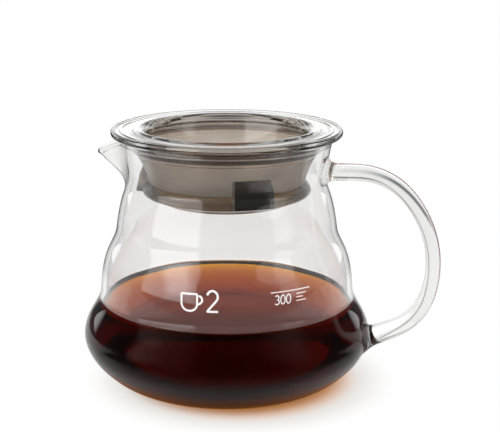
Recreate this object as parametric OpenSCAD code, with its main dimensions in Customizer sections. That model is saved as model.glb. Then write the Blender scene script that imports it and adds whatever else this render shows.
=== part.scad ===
// Glass coffee server: a three-tiered jug with a pulled spout and a
// rod handle, part filled with coffee, closed by a glass plug lid that
// wears a smoky silicone seal. Stands on z = 0, axis on Z, handle on +X,
// spout on -X.

/* [Jug body] */
// Height of the rim above the table
jug_h = 90.9; // [86:0.1:96]
// Diameter of the flat foot
base_d = 72; // [62:0.5:78]
// Diameter of the wide bottom tier
bowl_d = 106.2; // [102:0.1:112]
// Height of the widest ring of the bottom tier
bowl_z = 17; // [15:0.5:19]
// Diameter of the crease between the bottom and middle tiers
crease_d = 93.4; // [91:0.1:96]
// Height of that crease
crease_z = 34; // [32:0.5:36]
// Diameter of the crease between the middle and top tiers
shoulder_d = 80.9; // [79:0.1:83]
// Height of that crease
shoulder_z = 57.5; // [56:0.5:59]
// Diameter of the neck's narrowest ring
waist_d = 72.4; // [72:0.1:74]
// Drop of that ring below the rim
waist_drop = 14.9; // [14:0.1:16]
// Diameter of the rim
rim_d = 76.6; // [76:0.1:78]
// Thickness of the blown wall
wall = 1.8; // [1.4:0.1:2]
// Thickness of the floor
floor_t = 2.8; // [2:0.1:4]
// Thickness of the fire-rounded rim
rim_bead_d = 2.4; // [2:0.1:2.6]

/* [Spout] */
// Reach of the spout's tip from the axis
spout_reach = 49.5; // [47:0.1:52]
// Drop of the lip's tip below the rim
spout_tip_drop = 8; // [7:0.1:10]
// Drop of the lip below the rim where it leaves it
spout_root_drop = 0.9; // [0.5:0.1:1.9]
// Drop of the underside below the rim where it leaves the neck
spout_low_drop = 20.9; // [19:0.1:23]
// Width of the spout at the rim
spout_w = 25; // [20:0.5:30]
// Outer radius of the tip
spout_tip_r = 2.2; // [1.8:0.1:2.6]
// Outer radius of the folds at the rim and below
spout_fold_r = 2.8; // [2.6:0.1:3.4]

/* [Handle] */
// Drop of the rod's centre at the upper weld below the rim
handle_drop = 11.1; // [10:0.1:13]
// Climb of the upper run, in degrees
handle_rise = 1.5; // [0:0.5:4]
// Distance from the axis at which the upper bend starts
handle_run = 48.4; // [46:0.1:51]
// Radius of the upper bend
bend1_r = 23.4; // [21:0.1:25]
// Turn of the upper bend, in degrees
bend1_deg = 50.3; // [48:0.1:53]
// Radius of the long outer bend
bend2_r = 37.6; // [35:0.1:39]
// Turn of the long outer bend, in degrees
bend2_deg = 57.4; // [55:0.1:60]
// Radius of the lower bend
bend3_r = 22; // [20:0.1:24]
// Turn of the lower bend, in degrees
bend3_deg = 49.7; // [47:0.1:52]
// Rod diameter at the upper weld
rod_top_d = 6.4; // [5.6:0.1:7]
// Rod diameter at the outer bend, where it is drawn thinnest
rod_side_d = 5.2; // [4.6:0.1:6]
// Rod diameter at the lower weld
rod_foot_d = 7; // [6:0.1:7.6]
// Diameter of the upper weld pad on the neck
pad_top_d = 11; // [9:0.1:13]
// Diameter of the lower weld pad on the bowl
pad_foot_d = 12; // [10:0.1:14]
// Length over which the rod swells into a pad
pad_len = 3.6; // [2.8:0.1:4.4]

/* [Lid] */
// Diameter of the lid's flange
flange_d = 84; // [82:0.1:87]
// Thickness of the flange at the mouth of its well
flange_t = 3.1; // [2.6:0.1:3.6]
// Diameter of the well's mouth
well_mouth_d = 64.4; // [63:0.1:66]
// Diameter of the well where its straight wall starts
well_top_d = 58.4; // [57:0.1:59]
// Diameter of the well at its floor
well_floor_d = 46; // [43:0.1:48]
// Depth of the well below the mouth
well_depth = 24.6; // [22:0.1:26]
// Diameter of the plug under the flange
plug_top_d = 62; // [61:0.1:63]
// Diameter of the plug at its foot
plug_foot_d = 51.4; // [50:0.1:52]
// Drop of the plug below the flange
plug_drop = 24.3; // [23:0.1:26]
// Rounding of the plug's lower edge
plug_round = 2; // [1:0.1:2.4]
// Gap between the resting lid and the rim
rest_gap = 0.3; // [0.2:0.05:0.5]

/* [Seal] */
// Diameter of the seal's upper lip
lip_d = 68; // [67:0.1:68.6]
// Depth of the upper lip's top face below the flange
lip_drop = 3.4; // [3:0.1:4.4]
// Thickness of the upper lip's edge
lip_t = 2; // [1.4:0.1:2.4]
// Diameter of the seal's waist
seal_waist_d = 56.8; // [56.4:0.1:57.4]
// Depth of the waist below the flange
seal_waist_drop = 15.6; // [14.5:0.1:16.4]
// Diameter of the seal's lower collar
collar_d = 61.4; // [60:0.1:62.4]
// Depth of the collar's widest ring below the flange
collar_drop = 19.2; // [18.6:0.1:20]
// Length of the seal down the plug
seal_len = 22.1; // [21.6:0.1:22.3]
// Thickness of the sleeve round the top of the plug
sleeve_t = 1.3; // [1:0.1:1.6]
// Number of centring ribs on the seal
rib_count = 3; // [3:1:4]
// Turn of the first rib's middle from the handle, in degrees
rib_turn = 61.5; // [20:0.5:99]
// Turn that each wedge-shaped rib spans, in degrees
rib_span = 26; // [12:1:30]
// Reach of the ribs from the axis
rib_reach = 33.2; // [32:0.1:33.6]
// Depth of a rib's thin upper end below the flange
rib_top_drop = 9.3; // [8:0.1:11]
// Depth of a rib's flat foot below the flange
rib_low_drop = 20.7; // [20:0.1:21.4]

/* [Coffee] */
// Height of the coffee's surface above the table
coffee_z = 30.7; // [26:0.1:32]

/* [Hidden] */
$fn = 96;
// Facets on the small spheres that shape the spout
ball_fn = 32;
// Sides of the handle's rod
rod_sides = 24;
// Overrun of a cut past the face that it opens
over = 1;

glass_colour = [0.86, 0.89, 0.89, 0.35];
seal_colour = [0.44, 0.39, 0.35, 0.85];
coffee_colour = [0.22, 0.08, 0.04, 0.95];

base_r = base_d / 2;
bowl_r = bowl_d / 2;
crease_r = crease_d / 2;
shoulder_r = shoulder_d / 2;
waist_r = waist_d / 2;
rim_r = rim_d / 2;
waist_z = jug_h - waist_drop;
spout_tip_z = jug_h - spout_tip_drop;
spout_root_z = jug_h - spout_root_drop;
spout_low_z = jug_h - spout_low_drop;
handle_z = jug_h - handle_drop;

// Outline of the jug, tier by tier. Each pair is a share of the change
// in radius and a share of the change in height across its tier.
foot_shares = [[0, 0], [0.12, 0.03], [0.29, 0.1], [0.47, 0.21],
  [0.64, 0.36], [0.82, 0.55], [0.95, 0.77]];
bowl_shares = [[0, 0], [0.07, 0.22], [0.32, 0.44], [0.66, 0.66],
  [0.9, 0.85]];
middle_shares = [[0, 0], [0.03, 0.12], [0.09, 0.27], [0.21, 0.44],
  [0.41, 0.61], [0.7, 0.77], [0.92, 0.9]];
top_shares = [[0, 0], [0.05, 0.1], [0.16, 0.26], [0.35, 0.47],
  [0.62, 0.68], [0.9, 0.86]];
neck_shares = [[0, 0], [0.08, 0.18], [0.3, 0.44], [0.68, 0.76], [1, 1]];

function tier(shares, r0, z0, r1, z1) =
  [for (s = shares) [r0 + (r1 - r0) * s[0], z0 + (z1 - z0) * s[1]]];

key_points = concat(
  tier(foot_shares, base_r, 0, bowl_r, bowl_z),
  tier(bowl_shares, bowl_r, bowl_z, crease_r, crease_z),
  tier(middle_shares, crease_r, crease_z, shoulder_r, shoulder_z),
  tier(top_shares, shoulder_r, shoulder_z, waist_r, waist_z),
  tier(neck_shares, waist_r, waist_z, rim_r, jug_h - rim_bead_d / 2));

// A smooth curve through a row of points, with steps between each two
function smooth(p, steps) = concat(
  [for (i = [0:len(p) - 2], k = [0:steps - 1])
    let (a = p[max(i - 1, 0)], b = p[i], c = p[i + 1],
      d = p[min(i + 2, len(p) - 1)], t = k / steps)
    0.5 * (2 * b + (c - a) * t + (2 * a - 5 * b + 4 * c - d) * t * t
      + (3 * b - a - 3 * c + d) * t * t * t)],
  [p[len(p) - 1]]);

outer_line = smooth(key_points, 2);

// Unit vector that points into the glass at one point of a line
function inward(p, i) =
  let (d = p[min(i + 1, len(p) - 1)] - p[max(i - 1, 0)])
  [-d[1], d[0]] / norm(d);

inner_all = [for (i = [0:len(outer_line) - 1])
  outer_line[i] + wall * inward(outer_line, i)];
inner_line = [for (p = inner_all) if (p[1] > floor_t) p];
floor_r = inner_line[0][0] - wall;

function line_r(line, z) = lookup(z, [for (p = line) [p[1], p[0]]]);

bead_r = rim_r - wall / 2;

// Spout
spout_tip_c = spout_reach - spout_tip_r;
spout_side_c = rim_r - spout_fold_r + wall / 2;
spout_side_y = spout_w / 2 - spout_fold_r;
spout_low_c = line_r(outer_line, spout_low_z) - spout_fold_r;

// Handle: points and headings along the rod's centre line
function dir(a) = [cos(a), sin(a)];
function across(a) = [sin(a), -cos(a)];
function arc(start, a0, r, turn, n) = [for (k = [1:n])
  let (a = a0 - turn * k / n)
  [start + r * across(a0) - r * across(a), a]];
function last(v) = v[len(v) - 1];

weld_bury = 4 * wall;
rod_start_r = line_r(outer_line, handle_z) - weld_bury;
run_len = (handle_run - rod_start_r) / cos(handle_rise);
run_start = [rod_start_r, handle_z - weld_bury * tan(handle_rise)];
run_steps = 12;
bend_steps = 11;
run1 = [for (k = [0:run_steps])
  [run_start + dir(handle_rise) * run_len * k / run_steps, handle_rise]];
bend1 = arc(last(run1)[0], handle_rise, bend1_r, bend1_deg, bend_steps);
bend2 = arc(last(bend1)[0], last(bend1)[1], bend2_r, bend2_deg, bend_steps);
bend3 = arc(last(bend2)[0], last(bend2)[1], bend3_r, bend3_deg, bend_steps);
// Distance from a point to the jug's outer wall along a heading, found in
// a few steps
function reach(p, a, d, n) = n == 0 ? d :
  reach(p, a, (line_r(outer_line, p[1] + d * sin(a)) - p[0]) / cos(a), n - 1);
foot_reach = reach(last(bend3)[0], last(bend3)[1], 0, run_steps);
foot_run = foot_reach + weld_bury;
run2 = [for (k = [1:run_steps])
  [last(bend3)[0] + dir(last(bend3)[1]) * foot_run * k / run_steps,
    last(bend3)[1]]];
rod_line = concat(run1, bend1, bend2, bend3, run2);
rod_n = len(rod_line);
rod_steps = [for (i = [1:rod_n - 1])
  norm(rod_line[i][0] - rod_line[i - 1][0])];
function total(v, n) = n == 0 ? 0 : v[n - 1] + total(v, n - 1);
rod_way = [for (i = [0:rod_n - 1]) total(rod_steps, i)];
rod_len = last(rod_way);

// Swelling of the rod into its weld pad, at a distance from the wall
function swell(d) = d > pad_len ? 0 : pow(1 - max(d, 0) / pad_len, 2);
function rod_r(s) =
  let (f = s / rod_len, ease = (1 - cos(2 * f * 180)) / 2,
    end_r = (f < 1 / 2 ? rod_top_d : rod_foot_d) / 2,
    plain = end_r + (rod_side_d / 2 - end_r) * ease)
  plain + (pad_top_d / 2 - plain) * swell(s - weld_bury)
    + (pad_foot_d / 2 - plain) * swell(rod_len - s - weld_bury);
rod_rings = [for (i = [0:rod_n - 1], k = [0:rod_sides - 1])
  let (p = rod_line[i][0], a = rod_line[i][1], r = rod_r(rod_way[i]),
    b = 360 * k / rod_sides)
  [p[0] - r * cos(b) * sin(a), r * sin(b), p[1] + r * cos(b) * cos(a)]];
rod_faces = concat(
  [[for (k = [0:rod_sides - 1]) k]],
  [for (i = [0:rod_n - 2], k = [0:rod_sides - 1], h = [0, 1])
    let (a = i * rod_sides + k, b = i * rod_sides + (k + 1) % rod_sides,
      c = a + rod_sides, d = b + rod_sides)
    h == 0 ? [a, c, b] : [b, c, d]],
  [[for (k = [rod_sides - 1:-1:0]) (rod_n - 1) * rod_sides + k]]);

// Lid
seat_z = jug_h + rest_gap;
mouth_z = seat_z + flange_t;
flange_r = flange_d / 2;
mouth_r = well_mouth_d / 2;
well_top_r = well_top_d / 2;
well_floor_r = well_floor_d / 2;
plug_top_r = plug_top_d / 2;
plug_foot_r = plug_foot_d / 2;
plug_z = seat_z - plug_drop;
well_z = mouth_z - well_depth;
// Radius of the plug's outer wall at a height
function plug_r(z) =
  plug_foot_r + (plug_top_r - plug_foot_r) * (z - plug_z) / plug_drop;

// The flange's top from its edge to the mouth: a rolled edge, a groove,
// a fine ridge and a flat ring. Each pair is a share of the ring's width
// and a share of the flange's thickness.
flange_shares = [[0, 0.42], [0.01, 0.7], [0.05, 0.87], [0.12, 0.92],
  [0.19, 0.84], [0.24, 0.72], [0.3, 0.72], [0.35, 0.82], [0.4, 0.82],
  [0.46, 0.7], [0.55, 0.69], [0.82, 0.74], [0.9, 0.86], [0.96, 0.98],
  [1, 1]];
// The flange's lower edge, in shares of its thickness
edge_shares = [[0.5, 0], [0.15, 0.1], [0, 0.36]];
// The mouth's rounding into the well, as shares of the step in radius
// and of the flange's thickness below the mouth
mouth_shares = [[0.3, 0.1], [0.62, 0.32], [0.85, 0.62], [1, 1]];
// The floor's corner, as shares of the corner's radius
corner_shares = [[0, 0], [0.08, 0.38], [0.29, 0.71], [0.62, 0.92], [1, 1]];
corner_r = 1.5 * plug_round;

lid_line = concat(
  [[0, plug_z]],
  [for (s = corner_shares)
    [plug_r(plug_z) - plug_round + plug_round * s[1],
      plug_z + plug_round * s[0]]],
  [[plug_top_r, seat_z]],
  [for (s = edge_shares)
    [flange_r - flange_t * s[0], seat_z + flange_t * s[1]]],
  [for (s = flange_shares)
    [flange_r + (mouth_r - flange_r) * s[0], seat_z + flange_t * s[1]]],
  [for (s = mouth_shares)
    [mouth_r + (well_top_r - mouth_r) * s[0], mouth_z - flange_t * s[1]]],
  [for (s = corner_shares)
    [well_floor_r - corner_r * s[0], well_z + corner_r * (1 - s[1])]],
  [[0, well_z]]);

// Seal
lip_r = lip_d / 2;
seal_waist_r = seal_waist_d / 2;
collar_r = collar_d / 2;
lip_top_z = seat_z - lip_drop;
lip_low_z = lip_top_z - lip_t;
seal_waist_z = seat_z - seal_waist_drop;
collar_z = seat_z - collar_drop;
seal_low_z = seat_z - seal_len;
// The cone from the lip to the waist, as shares of both steps
cone_shares = [[0, 0], [0.3, 0.17], [0.56, 0.34], [0.74, 0.5],
  [0.87, 0.68], [0.96, 0.86], [1, 1]];
// The collar below the waist, as shares of both steps
collar_shares = [[0.28, 0.3], [0.62, 0.58], [0.88, 0.82], [1, 1]];
// The collar's return to the plug, as shares of both steps
return_shares = [[0.02, 0.28], [0.12, 0.55], [0.34, 0.82], [0.6, 1]];

seal_line = concat(
  [[plug_r(seal_low_z), seal_low_z], [plug_top_r, seat_z],
    [plug_top_r + sleeve_t, seat_z],
    [plug_r(lip_top_z) + sleeve_t, lip_top_z + sleeve_t],
    [plug_r(lip_top_z) + 2 * sleeve_t, lip_top_z],
    [lip_r - lip_t / 4, lip_top_z], [lip_r, lip_top_z - lip_t / 4],
    [lip_r, lip_low_z + lip_t / 4]],
  [for (s = cone_shares) [lip_r - lip_t / 4
      + (seal_waist_r - lip_r + lip_t / 4) * s[0],
    lip_low_z + (seal_waist_z - lip_low_z) * s[1]]],
  [for (s = collar_shares)
    [seal_waist_r + (collar_r - seal_waist_r) * s[0],
      seal_waist_z + (collar_z - seal_waist_z) * s[1]]],
  [for (s = return_shares)
    [collar_r + (plug_r(seal_low_z) - collar_r) * s[0],
      collar_z + (seal_low_z - collar_z) * s[1]]]);

// A rib's outer face, as shares of its reach past the plug and of its
// height
rib_shares = [[0.33, 0.15], [0.72, 0.45], [0.93, 0.78], [1, 0.9], [1, 1]];
rib_top_z = seat_z - rib_top_drop;
rib_low_z = seat_z - rib_low_drop;
// Depth to which a rib's root sits in the sleeve
rib_root = sleeve_t / 4;
rib_root_r = plug_r(rib_top_z) + rib_root;
rib_line = concat(
  [[plug_r(rib_low_z) + rib_root, rib_low_z], [rib_root_r, rib_top_z]],
  [for (s = rib_shares)
    [rib_root_r + (rib_reach - rib_root_r) * s[0],
      rib_top_z + (rib_low_z - rib_top_z) * s[1]]]);

// Solid that the jug's outside encloses, without its hollow
module jug_outside() {
  rotate_extrude()
    polygon(concat(outer_line, [[0, last(outer_line)[1]], [0, 0]]));
}

// Hollow of the jug, up to and past the rim
module jug_hollow() {
  rotate_extrude()
    polygon(concat([[floor_r, floor_t]], inner_line,
      [[last(inner_line)[0], jug_h + over], [0, jug_h + over],
        [0, floor_t]]));
}

// The blown shell with its fire-rounded rim, in one outline
bead = [for (a = [-40:20:220])
  [bead_r + rim_bead_d / 2 * cos(a),
    jug_h - rim_bead_d / 2 + rim_bead_d / 2 * sin(a)]];
module jug_shell() {
  rotate_extrude()
    polygon(concat([[0, 0]], [for (p = outer_line)
        if (p[1] < bead[0][1]) p], bead,
      [for (i = [len(inner_line) - 1:-1:0])
        if (inner_line[i][1] < last(bead)[1]) inner_line[i]],
      [[floor_r, floor_t], [0, floor_t]]));
}

// Four balls that span the spout: the tip, the fold on either side and
// the fold below. Thin is taken off the radii, lift raises the upper three.
module spout_balls(thin, lift) {
  hull() {
    translate([-spout_tip_c, 0, spout_tip_z - spout_tip_r / 2 + lift])
      sphere(r = spout_tip_r - thin * spout_tip_r / spout_fold_r,
        $fn = ball_fn);
    for (side = [-1, 1])
      translate([-spout_side_c, side * (spout_side_y + lift / 2),
        spout_root_z - spout_fold_r + lift])
        sphere(r = spout_fold_r - thin, $fn = ball_fn);
    translate([-spout_low_c, 0, spout_low_z + spout_fold_r])
      sphere(r = spout_fold_r - thin, $fn = ball_fn);
  }
}

// What lies above the sloping lips of the spout
module above_lips() {
  translate([0, spout_w, 0])
    rotate([90, 0, 0])
      linear_extrude(2 * spout_w)
        polygon([[-rim_r - over, spout_root_z],
          [-spout_reach, spout_tip_z],
          [-spout_reach - over, spout_tip_z - over],
          [-spout_reach - over, jug_h + over],
          [-rim_r - over, jug_h + over]]);
}

// The blown jug: tiered shell, fire-rounded rim and pulled spout
module glass_body() {
  color(glass_colour)
    difference() {
      union() {
        jug_shell();
        difference() {
          spout_balls(0, 0);
          above_lips();
          jug_hollow();
        }
      }
      spout_balls(wall, 2 * wall);
    }
}

// The handle: one drawn glass rod, welded on at two flared pads
module handle() {
  color(glass_colour)
    difference() {
      polyhedron(rod_rings, rod_faces);
      jug_outside();
    }
}

// The pressed glass lid: ridged flange and hollow plug
module lid_glass() {
  color(glass_colour)
    rotate_extrude()
      polygon(lid_line);
}

// The silicone seal: sleeve, lip, waist, collar and centring wedges
module lid_seal() {
  color(seal_colour)
    union() {
      rotate_extrude()
        polygon(seal_line);
      for (i = [0:rib_count - 1])
        rotate([0, 0, rib_turn - rib_span / 2 + i * 360 / rib_count])
          rotate_extrude(angle = rib_span)
            polygon(rib_line);
    }
}

// The coffee, which fills the hollow to its surface
coffee_line = concat([[floor_r, floor_t]],
  [for (p = inner_line) if (p[1] < coffee_z) p],
  [[line_r(inner_line, coffee_z), coffee_z]]);
module coffee() {
  color(coffee_colour)
    rotate_extrude()
      polygon(concat(coffee_line, [[0, coffee_z], [0, floor_t]]));
}

glass_body();
handle();
lid_glass();
lid_seal();
coffee();
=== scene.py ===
"""Glass coffee server: blown jug with a pulled spout, drawn rod handle, pressed
glass lid in a smoky silicone seal, and the coffee in it. Lengths in the tables
are millimetres and become metres when a mesh is made."""

import math

import bpy
import numpy as np
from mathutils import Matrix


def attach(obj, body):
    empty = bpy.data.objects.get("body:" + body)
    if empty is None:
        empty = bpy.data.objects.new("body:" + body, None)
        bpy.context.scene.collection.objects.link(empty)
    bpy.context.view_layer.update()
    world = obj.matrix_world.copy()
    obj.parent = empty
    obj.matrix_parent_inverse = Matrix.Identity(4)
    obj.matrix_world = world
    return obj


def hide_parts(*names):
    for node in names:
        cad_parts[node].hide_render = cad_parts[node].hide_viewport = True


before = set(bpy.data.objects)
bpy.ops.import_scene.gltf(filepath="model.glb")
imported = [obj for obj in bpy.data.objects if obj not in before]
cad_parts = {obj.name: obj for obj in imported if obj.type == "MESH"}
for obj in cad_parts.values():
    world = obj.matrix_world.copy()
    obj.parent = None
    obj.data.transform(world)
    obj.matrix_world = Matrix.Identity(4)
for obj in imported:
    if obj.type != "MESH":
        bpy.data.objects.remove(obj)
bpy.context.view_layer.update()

MM = 0.001
WHITE = (1, 1, 1, 1)
# Heading from the axis to the side that is seen from the front, in degrees
FACED = -75.5
N_GLASS, N_SILICONE, N_WATER = 1.47, 1.41, 1.333

# ---------------------------------------------------------------- sizes

# Outside of the jug from the foot to the rim: radius and height
JUG_LINE = [
    (0, 0.45), (12, 0.44), (24, 0.38), (30, 0.24), (33.2, 0.06), (35, 0),
    (36.6, 0.14), (38.1, 0.55), (41, 1.72), (44.05, 3.6), (46.95, 6.1),
    (50, 9.35), (52.2, 13.1), (53.1, 17), (52.65, 20.75), (51.05, 24.5),
    (48.9, 28.2), (47.35, 31.45), (46.7, 34), (46.5, 36.8), (46.15, 40.3),
    (45.4, 44.3), (44.15, 48.3), (42.3, 52.1), (40.95, 55.15), (40.45, 57.5),
    (40.25, 59.35), (39.75, 62.3), (38.95, 66.2), (37.8, 70.1), (36.6, 73.4),
    (36.2, 76), (36.35, 78.5), (36.85, 82), (37.6, 86.4), (38.3, 89.7),
]
WALL, FLOOR = 1.8, 2.8
# Heights between which the floor's thickness goes over into the wall's
FLOOR_ENDS = (1.0, 11.0)
RIM_BEAD_R = 1.2
# Underside of the spout on its middle line
SPOUT_LINE = [
    (37.8, 70.1), (38.1, 71.4), (38.8, 72.9), (40.4, 75.1), (42.2, 76.7),
    (45.2, 79.2), (47.9, 81.5), (48.9, 82.35),
]
SPOUT_HALF_W = 12.6
SPOUT_ROUND = 2.4

# Coffee: its level, and how high and how far it creeps at the wall
COFFEE_Z = 30.7
CREEP_Z, CREEP_R = 0.15, 0.4
# How far the coffee's skin stands inside the glass, so that no air is between
BITE = 0.22

# Lid: half section, from the middle of the plug's foot round to the well
LID_LINE = [
    (0, 66.9), (21.5, 66.9), (23.4, 67.05), (24.7, 67.6), (25.55, 68.6),
    (25.95, 70), (31, 91.2), (36, 91.2), (40.4, 91.2), (41.3, 91.45),
    (41.85, 91.95), (42, 92.6), (41.85, 93.35), (41.45, 93.85),
    (40.8, 94.02), (40.15, 93.8), (39.65, 93.46), (39.1, 93.42),
    (38.6, 93.68), (38.1, 93.7), (37.6, 93.42), (36.6, 93.36), (34.1, 93.5),
    (33.3, 93.85), (32.6, 94.2), (31.9, 94.22), (31.1, 93.9), (30.3, 93.3),
    (29.65, 92.4), (29.25, 91.2), (23.1, 73), (22.7, 71.6), (21.8, 70.5),
    (20.2, 69.85), (18.4, 69.7), (0, 69.7),
]
# Seal: half section of its outside from the top of the sleeve down
SEAL_LINE = [
    [(32.1, 91.12), (31.9, 90.2), (31.8, 89.2), (31.9, 88.5), (32.3, 88.05),
     (32.9, 87.85), (33.5, 87.8), (33.95, 87.75)],
    [(33.95, 87.75), (34.02, 87.35), (33.85, 86.75), (33.45, 86.1),
     (32.95, 85.5)],
    [(32.95, 85.5), (31.75, 83.6), (30.75, 81.6), (29.85, 79.4),
     (29.15, 77.3), (28.65, 75.6), (28.45, 74.75)],
    [(28.45, 74.75), (29.15, 74.45), (30.05, 73.75), (30.6, 72.8),
     (30.72, 71.9), (30.5, 71), (29.95, 70.2), (29.1, 69.55), (27.9, 69.2),
     (26.6, 69.15)],
]
WEDGE_LINE = [
    (29.4, 81.9), (30.7, 80.1), (32.1, 76.8), (32.9, 73.1), (33.2, 71.5),
    (33.2, 70.55),
]
WEDGE_TURN, WEDGE_SPAN = 61.5, 26
# Heights: top of the collar, top of the cone, the lip, and the seal's inside,
# which clears the plug by a hair
COLLAR_TOP, CONE_TOP, LIP_Z, SEAL_Z = 74.8, 85.4, (86.7, 89.6), (69.2, 91.05)
SEAL_GAP = 0.06
# Plug's outside: radius at its foot and at the flange, with their heights
PLUG_R, PLUG_Z = (25.95, 31), (70, 91.2)


def even(points, step, soften=0.0):
    """Points at even steps along a polyline, each one replaced by the
    bell-weighted mean of its neighbours; the two ends stay where they are."""
    p = np.asarray(points, float)
    way = np.r_[0, np.cumsum(np.linalg.norm(np.diff(p, axis=0), axis=1))]
    n = max(int(round(way[-1] / step)), 2)
    t = np.linspace(0, way[-1], n + 1)
    q = np.stack([np.interp(t, way, c) for c in p.T], 1)
    if not soften:
        return q
    s = soften / (way[-1] / n)
    k = int(math.ceil(3 * s))
    w = np.exp(-0.5 * (np.arange(-k, k + 1) / s) ** 2)
    wide = np.r_[2 * q[0] - q[k:0:-1], q, 2 * q[-1] - q[-2 : -k - 2 : -1]]
    return np.stack([np.convolve(c, w / w.sum(), "valid") for c in wide.T], 1)


def curve_through(points, steps):
    """A smooth curve through each point: between two points it is the cubic
    that leaves and meets them along the chord of their neighbours."""
    p = np.asarray(points, float)
    a = np.vstack([2 * p[0] - p[1], p[:-2]])
    b, c = p[:-1], p[1:]
    d = np.vstack([p[2:], 2 * p[-1] - p[-2]])
    t = (np.arange(steps) / steps)[None, :, None]
    a, b, c, d = (x[:, None, :] for x in (a, b, c, d))
    q = 0.5 * (
        2 * b + (c - a) * t + (2 * a - 5 * b + 4 * c - d) * t**2
        + (3 * b - a - 3 * c + d) * t**3
    )
    return np.vstack([q.reshape(-1, p.shape[1]), p[-1]])


def step_up(x, lo, hi):
    """0 below lo, 1 above hi, and the cubic 3t2 - 2t3 between them."""
    t = np.clip((x - lo) / (hi - lo), 0, 1)
    return t * t * (3 - 2 * t)


def turned(line, angles):
    """Rings of a half section: point (r, z) at each angle."""
    r, z = np.asarray(line, float).T
    return np.stack(
        [
            r[:, None] * np.cos(angles),
            r[:, None] * np.sin(angles),
            z[:, None] + 0 * angles,
        ],
        2,
    )


def added(name, data):
    """A new object in the scene, at the origin and unturned."""
    thing = bpy.data.objects.new(name, data)
    bpy.context.scene.collection.objects.link(thing)
    return thing


def note(piece, name, domain, values):
    """Keeps one number for each point or face of a piece."""
    kept = piece.data.attributes.new(name, "FLOAT", domain)
    kept.data.foreach_set("value", np.asarray(values, np.float32))


def ring_mesh(name, rings, first=None, last=None, loop=False, sharp=None):
    """A closed skin over rings of points: quads join each ring to the next,
    and a pole point closes either end with a fan. With loop, the last ring
    joins the first instead. The winding is turned so that the volume is
    positive."""
    m, n = rings.shape[:2]
    co = [rings.reshape(-1, 3)]
    i = np.arange(m if loop else m - 1)[:, None]
    j = np.arange(n)[None, :]
    k = (j + 1) % n
    i2 = (i + 1) % m
    quads = np.stack(
        np.broadcast_arrays(i * n + j, i * n + k, i2 * n + k, i2 * n + j), 2
    ).reshape(-1, 4)
    tris = []
    at = m * n
    j = np.arange(n)
    for pole, base, turn in ((first, 0, 1), (last, (m - 1) * n, 0)):
        if pole is None:
            continue
        co.append(np.asarray(pole, float)[None])
        a, b = base + j, base + (j + 1) % n
        if turn:
            a, b = b, a
        tris.append(np.stack([a, b, np.full(n, at)], 1))
        at += 1
    co = np.vstack(co) * MM
    tris = np.vstack(tris) if tris else np.zeros((0, 3), int)
    full = np.vstack([quads[:, :3], quads[:, [0, 2, 3]], tris])
    a, b, c = co[full[:, 0]], co[full[:, 1]], co[full[:, 2]]
    if np.einsum("ij,ij->i", a, np.cross(b, c)).sum() < 0:
        quads, tris = quads[:, ::-1], tris[:, ::-1]
    mesh = bpy.data.meshes.new(name)
    mesh.vertices.add(len(co))
    mesh.vertices.foreach_set("co", co.astype(np.float32).ravel())
    mesh.loops.add(quads.size + tris.size)
    mesh.loops.foreach_set(
        "vertex_index", np.r_[quads.ravel(), tris.ravel()].astype(np.int32)
    )
    sizes = np.r_[np.full(len(quads), 4), np.full(len(tris), 3)]
    mesh.polygons.add(len(sizes))
    mesh.polygons.foreach_set(
        "loop_start", np.r_[0, np.cumsum(sizes)[:-1]].astype(np.int32)
    )
    mesh.update(calc_edges=True)
    mesh.validate()
    mesh.polygons.foreach_set("use_smooth", np.ones(len(mesh.polygons), bool))
    if sharp:
        mesh.set_sharp_from_angle(angle=math.radians(sharp))
    return added(name, mesh)


def face_middles(piece):
    """Middle of every face, as rows of x, y, z in millimetres."""
    c = np.zeros(len(piece.data.polygons) * 3, np.float32)
    piece.data.polygons.foreach_get("center", c)
    return c.reshape(-1, 3) / MM


# ------------------------------------------------------------ materials


def grey(v, tint=(1, 1, 1)):
    """One level as a colour, times a faint tint."""
    return (v * tint[0], v * tint[1], v * tint[2], 1)


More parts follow.
